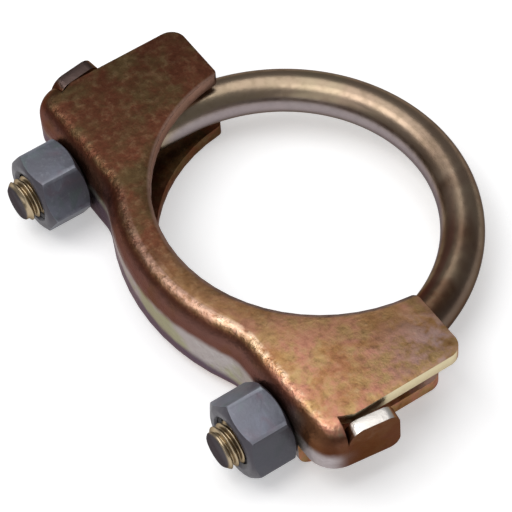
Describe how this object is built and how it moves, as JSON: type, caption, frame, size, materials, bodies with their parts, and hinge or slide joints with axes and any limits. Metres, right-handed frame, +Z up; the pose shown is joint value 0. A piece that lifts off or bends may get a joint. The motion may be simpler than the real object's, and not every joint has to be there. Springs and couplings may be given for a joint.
{
  "type": "exhaust clamp",
  "caption": "U-bolt exhaust clamp: a round bent rod with threaded legs, a pressed channel saddle and hexagon nuts that draw the saddle onto the pipe.",
  "frame": {"origin": "centre of the bounding box's bottom face, with the clamp lying on the saddle's rear flange", "axes": "+X from the left leg to the right leg, +Y from the nuts towards the loop, +Z up through the front flange, along the axis of the pipe"},
  "size_m": [0.0984, 0.0718, 0.0168],
  "materials": {
    "yellow_zinc": "smooth round steel rod, zinc plated with a yellow iridescent passivate",
    "pressed_yellow_zinc": "pressed steel sheet, zinc plated with a mottled yellow to red-brown passivate",
    "blue_zinc": "steel nuts, zinc plated with a dull blue-grey passivate"
  },
  "bodies": {
    "saddle": {"saddle": "pressed_yellow_zinc"},
    "u_bolt": {"u_bolt": "yellow_zinc"},
    "nut_left": {"nut_left": "blue_zinc"},
    "nut_right": {"nut_right": "blue_zinc"}
  },
  "joints": [
    {"name": "nut_left_turn", "type": "hinge", "parent": "saddle", "child": "nut_left", "pos_m": [-0.033, -0.0285, 0.0084], "axis": [0, 1, 0], "range_deg": [-720, 2880]},
    {"name": "nut_right_turn", "type": "hinge", "parent": "saddle", "child": "nut_right", "pos_m": [0.033, -0.0285, 0.0084], "axis": [0, 1, 0], "range_deg": [-720, 2880]},
    {"name": "bolt_travel", "type": "slide", "parent": "saddle", "child": "u_bolt", "axis": [0, -1, 0], "range_m": [-0.0025, 0.01]}
  ],
  "couplings": [
    {"joint": "nut_right_turn", "follows": "nut_left_turn", "ratio": 1},
    {"joint": "bolt_travel", "follows": "nut_left_turn", "m_per_rad": 0.00019894}
  ]
}
